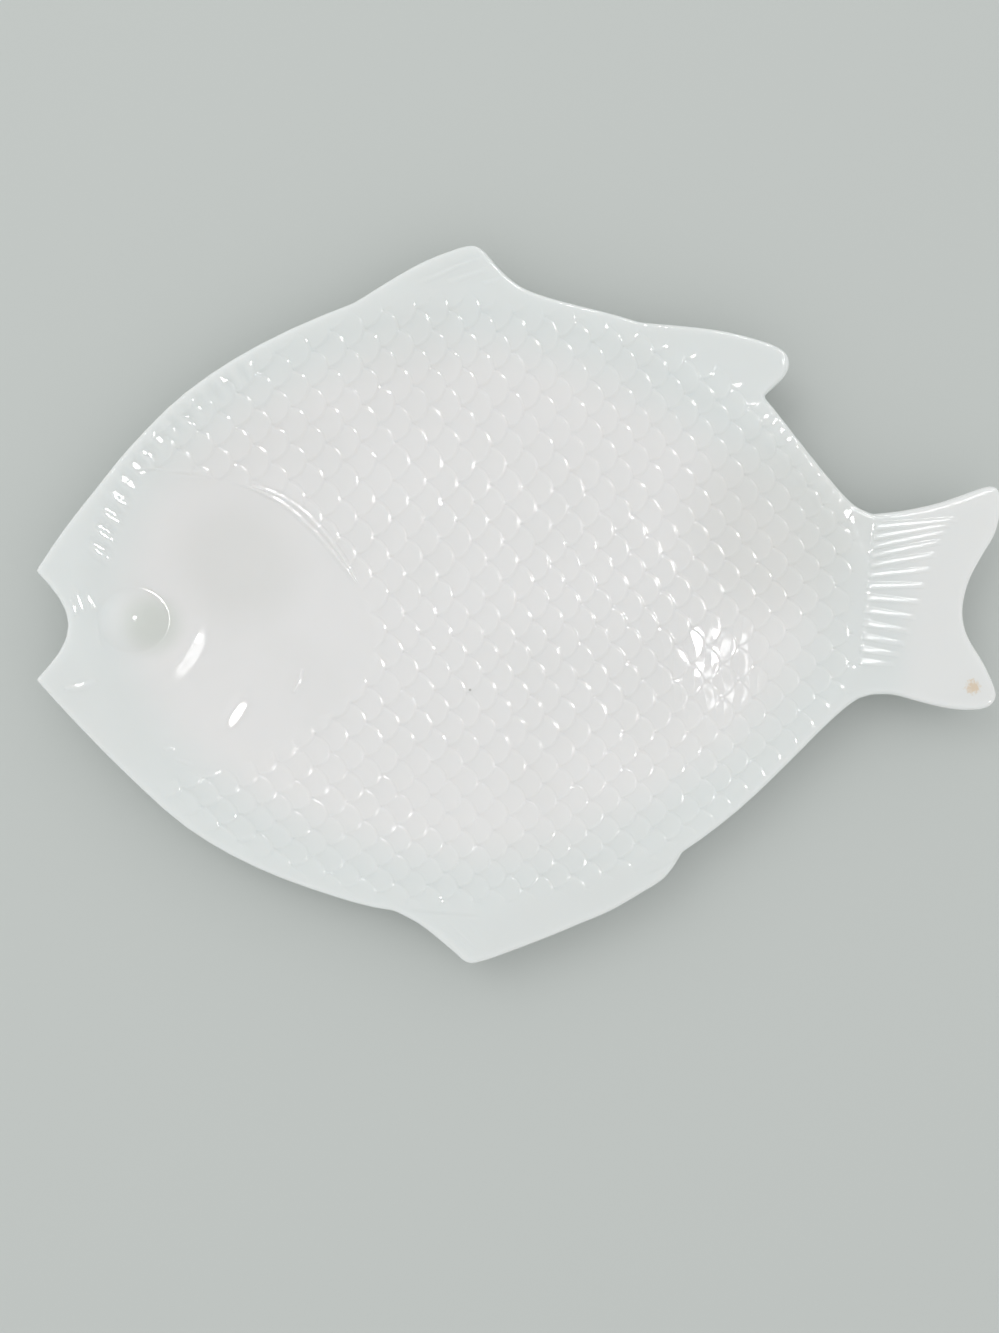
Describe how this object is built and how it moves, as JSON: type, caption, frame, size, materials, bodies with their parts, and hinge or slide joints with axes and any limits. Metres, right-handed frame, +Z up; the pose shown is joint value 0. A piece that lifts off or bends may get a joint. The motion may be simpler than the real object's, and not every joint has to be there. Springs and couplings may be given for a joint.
{
  "type": "fish shaped platter",
  "caption": "White pressed-glass serving platter in the shape of a fish, with a scaled dish, fins, forked tail and a low foot ring.",
  "frame": {"origin": "middle of the platter's box in plan, on the plane that the foot ring stands on", "axes": "+X from the mouth to the tail, +Y from the belly to the back fin, +Z up out of the dish"},
  "size_m": [0.3636, 0.2704, 0.0219],
  "materials": {
    "opal_glass": "glossy opaque white, fire polished",
    "ground_glass": "white, slightly worn where it stands"
  },
  "bodies": {
    "root": {"well": "opal_glass", "flank": "opal_glass", "rim": "opal_glass", "foot_ring": "ground_glass", "dorsal_fin": "opal_glass", "rear_dorsal_fin": "opal_glass", "pelvic_fin": "opal_glass", "anal_fin": "opal_glass", "tail_fin": "opal_glass", "tail_rays": "opal_glass", "eye": "opal_glass", "gill_ridge": "opal_glass"}
  },
  "joints": []
}
